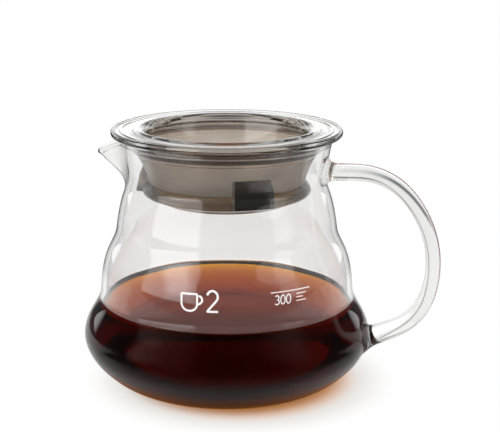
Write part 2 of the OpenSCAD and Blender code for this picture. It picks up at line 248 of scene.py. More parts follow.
class Recipe:
    """The node tree of a new material, or of a given world, and short calls
    for its nodes."""

    def __init__(self, name, world=None):
        self.owner = world or bpy.data.materials.new(name)
        self.owner.use_nodes = True
        self.tree = self.owner.node_tree
        self.tree.nodes.clear()
        self.out = self.node(
            "ShaderNodeOutputWorld" if world else "ShaderNodeOutputMaterial"
        )

    def node(self, kind, inputs=(), **settings):
        n = self.tree.nodes.new(kind)
        for key, value in settings.items():
            setattr(n, key, value)
        for key, value in dict(inputs).items():
            self.feed(n.inputs[key], value)
        return n

    def feed(self, socket, value):
        if isinstance(value, bpy.types.NodeSocket):
            self.tree.links.new(value, socket)
        else:
            socket.default_value = value

    def math(self, operation, *values, clamp=False):
        n = self.node("ShaderNodeMath", operation=operation, use_clamp=clamp)
        for socket, value in zip(n.inputs, values):
            self.feed(socket, value)
        return n.outputs[0]

    def plus(self, a, b, clamp=False):
        return self.math("ADD", a, b, clamp=clamp)

    def minus(self, a, b):
        return self.math("SUBTRACT", a, b)

    def times(self, a, b):
        return self.math("MULTIPLY", a, b)

    def radius(self, x, y):
        return self.math("SQRT", self.plus(self.times(x, x), self.times(y, y)))

    def ramp(self, value, lo, hi, to_lo=0.0, to_hi=1.0, smooth=True):
        """to_lo up to lo, to_hi from hi on, and a smooth step between."""
        n = self.node(
            "ShaderNodeMapRange",
            {"Value": value, "From Min": lo, "From Max": hi,
             "To Min": to_lo, "To Max": to_hi},
            interpolation_type="SMOOTHSTEP" if smooth else "LINEAR",
        )
        return n.outputs["Result"]

    def mix(self, share, a, b, kind="MIX"):
        n = self.node("ShaderNodeMix", data_type="RGBA", blend_type=kind)
        self.feed(n.inputs[0], share)
        self.feed(n.inputs[6], a)
        self.feed(n.inputs[7], b)
        return n.outputs[2]

    def level(self, value):
        """One number as a grey."""
        n = self.node(
            "ShaderNodeCombineColor", {"Red": value, "Green": value, "Blue": value}
        )
        return n.outputs[0]

    def place(self):
        return self.node("ShaderNodeTexCoord").outputs["Object"]

    def xyz(self):
        return self.node("ShaderNodeSeparateXYZ", {"Vector": self.place()}).outputs

    def facing(self):
        """0 where the surface faces the eye, 1 where it turns away."""
        return self.node("ShaderNodeLayerWeight", {"Blend": 0.5}).outputs["Facing"]

    def noted(self, name):
        return self.node("ShaderNodeAttribute", attribute_name=name).outputs["Fac"]

    def light_path(self):
        return self.node("ShaderNodeLightPath").outputs

    def noise(self, scale, detail=2.0, rough=0.5):
        n = self.node(
            "ShaderNodeTexNoise",
            {"Vector": self.place(), "Scale": scale, "Detail": detail,
             "Roughness": rough},
        )
        return n.outputs["Fac"]

    def bump(self, height, distance):
        n = self.node("ShaderNodeBump", {"Height": height, "Distance": distance})
        return n.outputs["Normal"]

    def soaked(self, colour, density):
        """Fills the piece with a medium that takes up light on its way."""
        medium = self.node(
            "ShaderNodeVolumeAbsorption", {"Color": colour, "Density": density}
        )
        self.tree.links.new(medium.outputs[0], self.out.inputs["Volume"])

    def surface(self, shader):
        self.tree.links.new(shader.outputs[0], self.out.inputs["Surface"])
        return self.owner


# Smooth steps in the materials run between two places in metres. Jug: where
# the gleam is turned down at the coffee's level, a painted shade in its
# reflection, and where the bowl turns under
GLEAM_DIM_Z, UNDER_BOWL = (0.0312, 0.0335), (0.0115, 0.0185)
# Lid: the bend from the flange into the well, the plug's foot, and the lower
# outer corner of the flange
BEND_R, BEND_Z = (0.0312, 0.0319), (0.0898, 0.0910)
FOOT_R, FOOT_Z = (0.0245, 0.0255), (0.0700, 0.0712)
CORNER_R, CORNER_Z = (0.0405, 0.0411), (0.0916, 0.0919)
# Lid: the well's rim, inside which the glass mirrors more strongly, a painted
# reflection
WELL_R = (0.0300, 0.0312)
# Facing above which the glass takes its edge tint: partly the longer way through it,
# mostly painted shade along the outlines
EDGE_TO = 0.97
# Painted shade: what glass keeps of light at those places, and in the rod's painted
# lines
BEND_SHADE, FOOT_SHADE = (0.16, 0.135, 0.11, 1), (0.24, 0.27, 0.28, 1)
CORNER_SHADE, LINE_SHADE = grey(0.012), (0.004, 0.005, 0.005, 1)
# Colour that the coffee and the silicone let through, and how densely each of
# them takes up the rest on light's way
COFFEE_DEPTH = ((0.862, 0.69, 0.0, 1), 300.0)
SMOKE_DEPTH = ((0.54, 0.38, 0.17, 1), 215.0)


def clear_glass(name, clear, edge, edge_from, ripple, ripple_scale, part):
    """Clear glass. Its tint falls from clear to edge where the surface turns
    away from the eye: partly the longer way through the glass, mostly painted
    shade along the outlines. A slow ripple bends the normal a little. The jug
    mirrors less below the coffee's level, as the liquid behind it takes one of
    the two gleams of the wall, and its outer gleam is turned down there too,
    lifted a little where the bowl turns under: painted shade in its reflection.
    The rod has painted dark lines along it, painted shade in place of the dark
    lines its refraction shows. The lid has painted shade at the bend into the
    well, at the plug's foot and in the lower corner of the flange, and its well
    mirrors more strongly than the flange: a painted reflection."""
    m = Recipe(name)
    x, y, z = m.xyz()
    out = m.radius(x, y)
    cloud = m.ramp(m.noise(55, 2), 0.35, 0.65, 0.985, 1.0)
    # edge tint towards the outline: painted shade, beyond what the longer way
    # through the glass takes
    tint = m.mix(m.ramp(m.facing(), edge_from, EDGE_TO), clear, edge)
    tint = m.mix(1.0, tint, m.level(cloud), "MULTIPLY")
    more = {}
    if part == "jug":
        # painted shade in the reflection: the gleam is cut almost away below the
        # coffee, lifted a little under the bowl
        dimmed_gleam = m.plus(m.ramp(z, *GLEAM_DIM_Z, 0.0, 0.98),
                     m.ramp(z, *UNDER_BOWL, 0.42, 0.02))
        more["Specular Tint"] = m.level(dimmed_gleam)
    if part == "rod":
        # painted dark lines along the rod: painted shade
        tint = m.mix(m.noted("painted_line"), tint, LINE_SHADE)
    if part == "lid":
        # painted shade at the bend into the well, the plug's foot and the flange's
        # lower corner
        bend = m.times(m.ramp(out, *BEND_R, 1.0, 0.0), m.ramp(z, *BEND_Z))
        tint = m.mix(bend, tint, BEND_SHADE)
        foot = m.times(m.ramp(z, *FOOT_Z, 1.0, 0.0), m.ramp(out, *FOOT_R, 1.0, 0.0))
        tint = m.mix(foot, tint, FOOT_SHADE)
        corner = m.times(m.ramp(z, *CORNER_Z, 1.0, 0.0), m.ramp(out, *CORNER_R))
        tint = m.mix(corner, tint, CORNER_SHADE)
        # painted reflection: the well mirrors more strongly than the flange
        more["Specular IOR Level"] = m.ramp(out, *WELL_R, 1.1, 0.6)
    return m.surface(m.node(
        "ShaderNodeBsdfPrincipled",
        {"Base Color": tint, "Roughness": 0.0, "IOR": N_GLASS,
         "Transmission Weight": 1.0,
         "Normal": m.bump(m.noise(ripple_scale, 1.5), ripple), **more},
    ))


# Each glass: its clear tint, its edge tint (painted shade at the outline) and the
# facing where that begins, then its ripple
JUG_GLASS = clear_glass(
    "blown_glass", grey(0.93, (1, 1, 0.995)), grey(0.02, (1, 1, 0.99)), 0.75,
    0.03 * MM, 38, "jug",
)
ROD_GLASS = clear_glass(
    "drawn_rod_glass", grey(0.87, (1, 1, 0.995)), grey(0.05, (1, 1, 0.99)), 0.78,
    0.02 * MM, 60, "rod",
)
LID_GLASS = clear_glass(
    "pressed_glass", grey(0.97, (1, 1, 0.99)), grey(0.42, (1, 1, 0.985)), 0.93,
    0.03 * MM, 70, "lid",
)


def fused_glass(name):
    """A face where glass meets glass, or a liquid that takes over the bending
    of light: light goes straight on."""
    m = Recipe(name)
    return m.surface(m.node("ShaderNodeBsdfTransparent"))


def brewed_coffee():
    """Clear brown liquid, deeper the further light goes through it. Faces
    marked air_side meet air, all others meet glass, which bends light less."""
    m = Recipe("brewed_coffee")
    bend = m.ramp(m.noted("air_side"), 0.0, 1.0, N_WATER / N_GLASS, N_WATER,
                  smooth=False)
    m.soaked(*COFFEE_DEPTH)
    return m.surface(m.node(
        "ShaderNodeBsdfPrincipled",
        {"Base Color": WHITE, "Roughness": 0.0, "IOR": bend,
         "Transmission Weight": 1.0, "Normal": m.bump(m.noise(24, 3), 0.02 * MM)},
    ))


# Seal: where the cone grows milky, and where a wedge's outer faces grow dark and
# then black
CONE_Z, WEDGE_Z, WEDGE_FOOT_Z = (0.0755, 0.0815), (0.0750, 0.0825), (0.0738, 0.0748)
LIP_TINT, WEDGE_TINT = (0.10, 0.066, 0.045, 1), (0.10, 0.08, 0.066, 1)


def smoky_silicone():
    """Smoky brown see-through silicone. The cone is moulded matt and milky,
    and clearer towards its foot. The sleeve is polished. The collar is browner,
    and darker where it turns away from the eye: painted shade at its outline.
    The lip is darkest, and the wedges' outer faces are darker towards their
    foot, down to black. The way through it does the rest."""
    m = Recipe("smoky_silicone")
    z = m.xyz()["Z"]
    haze = m.ramp(m.noise(160, 3, 0.6), 0.3, 0.7)
    skin = m.noise(900, 2)
    cone = m.noted("cone")
    milky = m.mix(haze, (0.96, 0.90, 0.84, 1), (1.0, 0.96, 0.91, 1))
    milky = m.mix(m.ramp(z, *CONE_Z), (0.74, 0.63, 0.55, 1), milky)
    smoke = m.mix(haze, (0.80, 0.76, 0.72, 1), (0.87, 0.83, 0.79, 1))
    # the collar's brown, darkened where it turns away from the eye: painted shade at
    # its outline
    brown = m.mix(m.ramp(m.facing(), 0.30, 0.80), (0.46, 0.38, 0.27, 1),
                  (0.07, 0.055, 0.038, 1))
    smoke = m.mix(m.noted("collar"), smoke, brown)
    smoke = m.mix(m.noted("lip"), smoke, LIP_TINT)
    wedge_dark = m.mix(m.ramp(z, *WEDGE_Z), (0.0015, 0.0012, 0.001, 1), WEDGE_TINT)
    wedge_dark = m.mix(m.ramp(z, *WEDGE_FOOT_Z), grey(0.0002), wedge_dark)
    colour = m.mix(m.noted("wedge"), m.mix(cone, smoke, milky), wedge_dark)
    rough = m.plus(m.ramp(skin, 0.3, 0.7, 0.02, 0.05), m.times(cone, 0.33))
    m.soaked(*SMOKE_DEPTH)
    return m.surface(m.node(
        "ShaderNodeBsdfPrincipled",
        {"Base Color": colour, "Roughness": rough, "IOR": N_SILICONE,
         "Transmission Weight": 0.84, "Normal": m.bump(skin, 0.004 * MM)},
    ))


def white_ink():
    """Fired white enamel: matt, very slightly uneven."""
    m = Recipe("white_enamel")
    grain = m.noise(700, 3)
    shade = m.mix(m.ramp(grain, 0.3, 0.7), (0.80, 0.78, 0.76, 1),
                  (0.90, 0.88, 0.86, 1))
    return m.surface(m.node(
        "ShaderNodeBsdfPrincipled",
        {"Base Color": shade, "Roughness": m.ramp(grain, 0.3, 0.7, 0.42, 0.55),
         "Normal": m.bump(grain, 0.01 * MM)},
    ))


# ---------------------------------------------------------------- jug

# Steps along the curves, in millimetres, and points from one given point to
# the next before the steps are evened out
JUG_STEP, JUG_SOFT, PER_GIVEN = 0.8, 0.9, 8

jug_line = even(curve_through(JUG_LINE, PER_GIVEN), JUG_STEP, JUG_SOFT)
# the flat foot needs fewer rings
jug_line = jug_line[(jug_line[:, 0] > 33) | (np.arange(len(jug_line)) % 6 == 3)]
jug_side = jug_line[jug_line[:, 0] > 34]
spout_from = SPOUT_LINE[0][1]


def wall_r(z):
    """Radius of the jug's outside at a height above the foot's corner."""
    return np.interp(z, jug_side[:, 1], jug_side[:, 0])


def around(n, bunch):
    """n angles round the axis, closer together towards the spout: the angle
    from the spout is u less a share of its sine."""
    u = (np.arange(n) / n) * 2 * math.pi - math.pi
    return math.pi + u - bunch * np.sin(u)


def pulled(rings):
    """Draws the spout out of the neck's rings. A point at width y moves from
    the round neck towards the spout's middle line by a share: one at the
    middle, falling in a straight line to nothing at the spout's edge, with a
    rounded nose and eased ends. The spout is narrow below and wide at the
    lip."""
    z0 = rings[:, :1, 2]
    t = np.clip((z0 - spout_from) / (jug_line[-1, 1] - spout_from), 0, 1)
    nose = even(curve_through(SPOUT_LINE, PER_GIVEN), 0.2, 0.5)
    share = np.linspace(0, 1, len(nose))
    rho = np.interp(t, share, nose[:, 0])
    low = np.interp(t, share, nose[:, 1])
    r0 = np.hypot(rings[:, :1, 0], rings[:, :1, 1])
    half = SPOUT_HALF_W * (0.42 + 0.58 * t**0.8)
    soft = SPOUT_ROUND * (1.9 - 0.9 * t)
    y = rings[..., 1]
    across = np.sqrt(y * y + soft**2) - soft * 0.999
    h = 1 - across / half
    ease = 0.5
    s = np.where(
        h > ease, h, np.where(h < -ease, 0, (h + ease) ** 2 / (4 * ease))
    )
    s = s * (rings[..., 0] < 0) * (t > 0)
    out = rings.copy()
    out[..., 0] -= s * (rho - r0)
    out[..., 2] += s * (low - z0)
    return out


def facing_out(rings):
    """Unit normals of a skin of rings, from the cross product of its two
    directions, and the unit direction that runs up it."""
    up = np.gradient(rings, axis=0)
    round_ = np.roll(rings, -1, 1) - np.roll(rings, 1, 1)
    n = np.cross(round_, up)
    n /= np.linalg.norm(n, axis=2, keepdims=True)
    return n, up / np.linalg.norm(up, axis=2, keepdims=True)


# Upper run, three bends and lower run of the rod: radius and turn
ROD_FROM, ROD_RISE = (48.4, 79.8), 1.5
BENDS = [(23.4, 50.3), (37.6, 57.4), (22.0, 49.7)]
# Rod's radius along its length, from the upper weld to the lower
ROD_R = [(0, 3.25), (0.12, 3.05), (0.3, 2.75), (0.5, 2.55), (0.7, 2.75),
         (0.86, 3.2), (1, 3.75)]
PAD_R, PAD_LEN = (5.4, 5.9), 3.8
# How deep a pad's face stands in the wall, over which length a ring slides,
# and how far the straight runs are drawn before the wall cuts them
PAD_BITE, HOLD_LEN, ROD_RUN = 0.45, 7.0, 30
# Painted dark lines on the rod's front, painted shade for the dark lines its
# refraction shows: share of its length, and how far round towards its outer
# side (1) or inner side (-1) they lie. The broad one runs out at the widest bend
BROAD_AT = [(0, 0.32), (0.2, 0.38), (0.3, 0.47), (0.4, 0.68), (0.5, 0.97)]
FINE_AT = [(0.2, -0.75), (0.35, -0.6), (0.5, -0.55), (0.65, -0.45),
           (0.75, -0.25), (0.88, 0), (0.95, 0.3)]
BROAD_W, FINE_W = 0.25, 0.085


def rod_path():
    """Centre line in the plane of the handle: a straight run, three arcs of
    given radius and turn end to end, and a straight run to the bowl."""
    a = math.radians(ROD_RISE)
    p = np.array(ROD_FROM)
    start = p - ROD_RUN * np.array([math.cos(a), math.sin(a)])
    line = [start, p]
    for radius, turn in BENDS:
        t = np.radians(np.linspace(0, turn, 40))[1:]
        arc = np.stack(
            [radius * (np.sin(a) - np.sin(a - t)),
             -radius * (np.cos(a) - np.cos(a - t))], 1
        )
        line += list(p + arc)
        p, a = p + arc[-1], a - t[-1]
    line.append(p + ROD_RUN * np.array([math.cos(a), math.sin(a)]))
    line = even(line, 0.25, 1.6)
    out = line[:, 0] > wall_r(line[:, 1]) - 0.5
    return line[out]


def make_handle():
    """Rings square to the rod's centre line. Near either end the ring slides
    along the rod so that its points keep their distance from the jug's wall,
    and it swells into a pad."""
    line = rod_path()
    line = even(line, 0.7)
    way = np.r_[0, np.cumsum(np.linalg.norm(np.diff(line, axis=0), axis=1))]
    run = np.gradient(line, axis=0)
    run /= np.linalg.norm(run, axis=1, keepdims=True)
    share, radius = np.array(ROD_R).T
    f = way / way[-1]
    r = np.interp(f, share, radius)
    r = even(np.stack([way, r], 1), 0.7, 4.0)[: len(way), 1]
    r = np.interp(way, np.linspace(0, way[-1], len(r)), r)
    for d, pad in ((way, PAD_R[0]), (way[-1] - way, PAD_R[1])):
        near = np.clip(1 - (d - 0.3) / PAD_LEN, 0, 1)
        r = r + (pad - r) * near**2.2
    b = np.linspace(0, 2 * math.pi, 72, endpoint=False)
    side = np.stack([-run[:, 1], run[:, 0]], 1)
    x = line[:, :1] + r[:, None] * side[:, :1] * np.cos(b)
    z = line[:, 1:] + r[:, None] * side[:, 1:] * np.cos(b)
    y = r[:, None] * np.sin(b) + 0 * z
    rings = np.stack([x, y, z], 2)
    for d, sign in ((way, -1), (way[-1] - way, 1)):
        hold = (1 - step_up(d, 0.0, HOLD_LEN))[:, None]
        h = sign * run
        t = np.zeros(rings.shape[:2])
        for _ in range(14):
            px = rings[..., 0] + t * h[:, :1]
            pz = rings[..., 2] + t * h[:, 1:]
            gap = np.hypot(px, rings[..., 1]) - (wall_r(pz) - PAD_BITE)
            t = t + np.clip(gap, -4, 4) * 0.9
        move = np.where(hold > 0, (t - d[:, None]) * hold, 0)
        rings[..., 0] += move * h[:, :1]
        rings[..., 2] += move * h[:, 1:]
    ends = rings[0].mean(0), rings[-1].mean(0)
    piece = ring_mesh("rod_handle", rings, *ends, sharp=60)
    # painted shade: a line's strength falls off with the angle from its middle,
    # and both lines lie on the front only
    broad_at = np.arcsin(np.interp(f, *np.array(BROAD_AT).T))[:, None]
    fine_at = np.arcsin(np.interp(f, *np.array(FINE_AT).T))[:, None]
    turn = np.arcsin(np.clip(np.cos(b), -1, 1))[None, :]
    front = np.sin(b)[None, :] < 0.02
    broad = np.exp(-(((turn - broad_at) / BROAD_W) ** 4))
    comes = 0.3 * step_up(f, 0.02, 0.08) + 0.7 * step_up(f, 0.10, 0.26)
    broad = broad * (comes * (1 - step_up(f, 0.40, 0.52)))[:, None]
    fine = np.exp(-(((turn - fine_at) / FINE_W) ** 2))
    fine = fine * (step_up(f, 0.22, 0.34) * (1 - step_up(f, 0.93, 0.99)))[:, None]
    painted_line = np.clip(front * (0.97 * broad + 0.93 * fine), 0, 1).ravel()
    note(piece, "painted_line", "POINT", np.r_[painted_line, 0, 0])
    c = face_middles(piece)
    cap = np.zeros(len(c), bool)
    for end in ends:
        cap |= np.linalg.norm(c - end, axis=1) < 4.4
    cap &= np.arange(len(c)) >= len(c) - 2 * len(b)
    piece.data.polygons.foreach_set("material_index", cap.astype(np.int32))
    return piece


handle = make_handle()
handle.data.materials.append(ROD_GLASS)
handle.data.materials.append(fused_glass("weld_face"))
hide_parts("handle")
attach(handle, "carafe")


def make_jug():
    """Outside skin, a round bead over the rim, then the inside skin, which is
    the outside moved in along its normal by the wall's thickness, more over
    the foot. Gives the jug, the faces of its inside, and the inside's half
    section away from the spout."""
    angles = around(208, 0.4)
    outer = pulled(turned(jug_line[1:], angles))
    normal, up = facing_out(outer)
    if normal[len(outer) // 2, 0] @ outer[len(outer) // 2, 0] < 0:
        normal = -normal
    z = jug_line[1:, 1][:, None, None]
    thick = WALL + (FLOOR - WALL) * (1 - step_up(z, *FLOOR_ENDS))
    inner = outer - thick * normal
    middle = (outer[-1] + inner[-1]) / 2
    turn = np.radians(np.linspace(-18, 198, 13))[:, None, None]
    bead = middle + RIM_BEAD_R * (
        np.cos(turn) * normal[-1] + np.sin(turn) * up[-1]
    )
    rings = np.concatenate([outer[:-1], bead, inner[-2::-1]])
    foot = (0, 0, jug_line[0, 1])
    floor = (0, 0, jug_line[0, 1] + FLOOR)
    jug = ring_mesh("jug", rings, foot, floor)
    # faces come ring by ring, then the fan of the foot, then that of the floor
    n = len(angles)
    at = np.arange(len(jug.data.polygons))
    inside = (at >= (len(outer) + 6) * n) & (at < (len(rings) - 1) * n)
    inside |= at >= len(rings) * n
    x, y, z = inner[:, 0].T
    return jug, inside, np.stack([np.hypot(x, y), z], 1)


jug, inside, inner_line = make_jug()
contact = int(np.argmin(np.abs(inner_line[:, 1] - (COFFEE_Z + CREEP_Z))
                        + 99 * (inner_line[:, 0] < 30)))
contact_r, contact_z = inner_line[contact]
jug.data.materials.append(JUG_GLASS)
jug.data.materials.append(fused_glass("wetted_wall"))
wet = inside & (face_middles(jug)[:, 2] < contact_z)
jug.data.polygons.foreach_set("material_index", wet.astype(np.int32))
jug.data.update()
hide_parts("glass_body")
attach(jug, "carafe")

# ------------------------------------------------------------- coffee


def make_coffee():
    """The jug's inside skin moved a hair into the glass, then a flat surface
    that creeps up the wall: its height is the level plus a rise that dies
    away with the distance from the wall."""
    angles = around(192, 0.0)
    below = inner_line[: contact + 1]
    slope = np.gradient(below, axis=0)
    slope /= np.linalg.norm(slope, axis=1, keepdims=True)
    side = below + BITE * np.stack([slope[:, 1], -slope[:, 0]], 1)
    side[-1, 1] = contact_z
    # distances from the wall, close together where the surface bends
    d = np.r_[0, 0.12, 0.26, 0.42, 0.6, 0.82, 1.1, 1.45, 1.9, 2.5, 3.3, 4.6,
              6.5, 10, 16, 24, 34]
    rise = (contact_z - COFFEE_Z) * np.exp(-d / CREEP_R)
    top = np.stack([contact_r - d, COFFEE_Z + rise], 1)
    line = np.vstack([side, top])
    piece = ring_mesh(
        "coffee_fill", turned(line, angles),
        (0, 0, inner_line[0, 1] - BITE), (0, 0, COFFEE_Z),
    )
    c = face_middles(piece)
    open_top = (c[:, 2] > COFFEE_Z - 0.01) & (
        np.hypot(c[:, 0], c[:, 1]) < contact_r
    )
    note(piece, "air_side", "FACE", open_top)
    return piece


coffee = make_coffee()
coffee.data.materials.append(brewed_coffee())
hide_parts("coffee")
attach(coffee, "carafe")

# ---------------------------------------------------------------- lid


def make_lid():
    """The lid's half section, closely stepped, turned round the axis."""
    line = np.array(LID_LINE, float)
    line = even(line, 0.3, 0.22)
    keep = (line[:, 0] > 17) & ((line[:, 1] < 72.5) | (line[:, 1] > 90.6))
    line = line[keep | (np.arange(len(line)) % 9 == 4)]
    rings = turned(line, around(224, 0.0))
    return ring_mesh("lid", rings, (0, 0, LID_LINE[0][1]), (0, 0, LID_LINE[-1][1]))


lid = make_lid()
lid.data.materials.append(LID_GLASS)
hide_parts("lid_glass")
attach(lid, "lid")


def plug_r(z):
    """Radius of the plug's outside at a height."""
    share = (np.asarray(z) - PLUG_Z[0]) / (PLUG_Z[1] - PLUG_Z[0])
    return PLUG_R[0] + (PLUG_R[1] - PLUG_R[0]) * share


def from_wedge(angle):
    """Angle from the middle of the nearest of the three wedges."""
    sixth = math.pi / 3
    return np.abs((angle - math.radians(WEDGE_TURN) + sixth) % (2 * sixth) - sixth)


def make_seal():
    """The seal's outside turned round the axis. At each wedge its radius is
    the larger of the seal's own and the wedge's, with steep sides. The inside
    is the plug's cone plus a hair."""
    parts = [even(curve_through(part, PER_GIVEN), 0.2)[:-1] for part in SEAL_LINE]
    line = np.vstack(parts + [[SEAL_LINE[-1][-1]]])
    # under the wedges' foot two rings lie close together
    foot = WEDGE_LINE[-1][1]
    low = line[line[:, 1] < foot][0]
    high = line[line[:, 1] >= foot][-1]
    edge_r = (low[0] + high[0]) / 2
    at = len(line[line[:, 1] >= foot])
    line = np.insert(line, at, [[edge_r, foot + 0.03], [edge_r, foot - 0.03]], 0)
    half = math.radians(WEDGE_SPAN / 2)
    # extra angles at both sides of each wedge
    fine = np.array([-0.035, -0.012, -0.003, 0.003, 0.012, 0.035])
    extra = []
    for k in range(3):
        mid = math.radians(WEDGE_TURN + 120 * k)
        extra += list(mid - half + fine) + list(mid + half + fine)
    angles = np.sort(np.r_[np.linspace(0, 2 * math.pi, 180, endpoint=False), extra])
    on = 1 - step_up(from_wedge(angles), half - 0.009, half + 0.009)
    w = np.array(WEDGE_LINE, float)[::-1]
    reach = np.interp(line[:, 1], w[:, 1], w[:, 0], left=0, right=0)
    r = line[:, 0][:, None]
    r = r + np.maximum(reach[:, None] - r, 0) * on[None, :]
    z = line[:, 1][:, None] + 0 * r
    outer = np.stack([r * np.cos(angles), r * np.sin(angles), z], 2)
    zi = np.linspace(*SEAL_Z, 30)
    inner = turned(np.stack([plug_r(zi) + SEAL_GAP, zi], 1), angles)
    piece = ring_mesh("seal", np.concatenate([outer, inner]), loop=True, sharp=30)
    c = face_middles(piece)
    r = np.hypot(c[:, 0], c[:, 1])
    own = np.interp(c[:, 2], line[::-1, 1], line[::-1, 0])
    z, shell = c[:, 2], r > plug_r(c[:, 2]) + 0.5
    wedge = r > own + 0.05
    outer_face = wedge & (from_wedge(np.arctan2(c[:, 1], c[:, 0])) < half - 0.012)
    cone = (z > COLLAR_TOP) & (z < CONE_TOP) & shell & ~wedge
    collar = (z < COLLAR_TOP) & shell & ~wedge
    lip = (z > LIP_Z[0]) & (z < LIP_Z[1]) & shell
    for name, faces in (("wedge", outer_face), ("cone", cone),
                        ("collar", collar), ("lip", lip)):
        note(piece, name, "FACE", faces)
    return piece


seal = make_seal()
seal.data.materials.append(smoky_silicone())
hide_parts("lid_seal")
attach(seal, "lid")

# -------------------------------------------------------------- marks

# Thickness of the enamel
INK = 0.04


def bow(cx, cy, rx, ry, a0, a1, n=18):
    """Points of an elliptic arc from angle a0 to a1, in degrees."""
    t = np.radians(np.linspace(a0, a1, n))
    return np.stack([cx + rx * np.cos(t), cy + ry * np.sin(t)], 1)


def numeral(digit):
    """Centre lines of a plain numeral in a box 0.6 wide and 1 high."""
    if digit == "0":
        return [bow(0.3, 0.5, 0.28, 0.5, 90, 450, 40)]
    if digit == "2":
        return [np.vstack([bow(0.3, 0.72, 0.26, 0.28, 165, -38),
                           [0.03, 0], [0.58, 0]])]
    if digit == "3":
        return [np.vstack([bow(0.29, 0.75, 0.23, 0.25, 150, -90, 16),
                           bow(0.29, 0.26, 0.27, 0.26, 90, -145, 18)])]
    raise ValueError(digit)


def make_marks():
    """Fired white marks on the bowl's front: a plain cup with a numeral, and a
    fill scale. Each stroke is a thin ribbon that follows its centre line at a
    given half width and lies on the jug's outside."""
    strokes = []

    def write(text, u, v, h, half):
        for k, digit in enumerate(text):
            for s in numeral(digit):
                strokes.append((s * h + [u + 0.72 * h * k, v], half))

    # a place is the distance round the jug from the middle of its front, and
    # the height
    cup = np.vstack([[0, 6.2], bow(3.0, 2.6, 3.0, 2.6, 180, 360, 16), [6.0, 6.2],
                     [0, 6.2]])
    grip = bow(6.0, 4.2, 1.9, 1.6, 70, -80, 12)
    for s in (cup, grip):
        strokes.append((s * 0.92 + [-15.6, 38.9], 0.34))
    write("2", -6.9, 39.0, 6.9, 0.36)
    strokes.append((np.array([[15.2, 44.6], [30.6, 44.6]]), 0.16))
    write("300", 16.6, 40.5, 3.0, 0.19)
    for v, end in ((43.3, 29.0), (42.1, 27.6), (40.9, 29.0)):
        strokes.append((np.array([[25.0, v], [end, v]]), 0.15))
    verts, faces, at = [], [], 0
    for line, half in strokes:
        p = even(line, 0.25)
        d = np.gradient(p, axis=0)
        d /= np.linalg.norm(d, axis=1, keepdims=True)
        n = np.stack([-d[:, 1], d[:, 0]], 1)
        flat = np.stack([p + half * n, p - half * n], 1)
        z = flat[..., 1]
        r = wall_r(z) + INK / 2
        a = math.radians(FACED) + flat[..., 0] / r
        verts.append(
            np.stack([r * np.cos(a), r * np.sin(a), z], 2).reshape(-1, 3)
        )
        k = at + 2 * np.arange(len(p) - 1)
        faces.append(np.stack([k, k + 1, k + 3, k + 2], 1))
        at += 2 * len(p)
    mesh = bpy.data.meshes.new("scale_marks")
    mesh.from_pydata((np.vstack(verts) * MM).tolist(), [], np.vstack(faces).tolist())
    piece = added("scale_marks", mesh)
    skin = piece.modifiers.new("ink_thickness", "SOLIDIFY")
    skin.thickness, skin.offset = INK * MM, 1
    return piece


marks = make_marks()
marks.data.materials.append(white_ink())
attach(marks, "carafe")

# -------------------------------------------------------------- stage

FLOOR_Z = -0.05
FLOOR_RINGS, FLOOR_SIDES = (60, 200, 700, 6000), 96


def make_floor():
    """A wide pale disc under the object. Seen straight or through glass it is
    white paper with a soft shadow, partly cast and partly painted, and the
    coffee's brown light near the foot, partly from the glow lamp and partly
    painted. In gloss it shows a painted reflection: bright near the object and
    dark farther off."""
    n = FLOOR_SIDES
    t = np.linspace(0, 2 * math.pi, n, endpoint=False)
    rings = np.stack([np.stack([r * np.cos(t), r * np.sin(t), 0 * t + FLOOR_Z], 1)
                      for r in FLOOR_RINGS])
    co = np.vstack([rings.reshape(-1, 3), [[0, 0, FLOOR_Z]]]) * MM
    i, j = np.arange(len(rings) - 1)[:, None], np.arange(n)[None, :]
    k = (j + 1) % n
    quads = np.stack(np.broadcast_arrays(
        i * n + j, (i + 1) * n + j, (i + 1) * n + k, i * n + k), 2).reshape(-1, 4)
    fan = [[a, (a + 1) % n, len(rings) * n] for a in range(n)]
    mesh = bpy.data.meshes.new("floor")
    mesh.from_pydata(co.tolist(), [], quads.tolist() + fan)
    mesh.update()
    floor = added("floor", mesh)
    floor.data.materials.append(pale_floor())


# Middle of the shadow, partly painted, in metres, a little right of and before the
# axis
SHADOW_X, SHADOW_Y = 0.0056, -0.0022
# The paper's painted light and shade: painted shadow, painted brown glow at the
# foot, painted amber glow under the coffee, and its painted amber reflection
SHADOW_TINT, FOOT_GLOW_PAINT = (0.82, 0.78, 0.74, 1), (0.48, 0.20, 0.06, 1)
UNDER_GLOW_PAINT, GLEAM_AMBER = (1.0, 0.70, 0.36, 1), (0.55, 0.20, 0.05, 1)


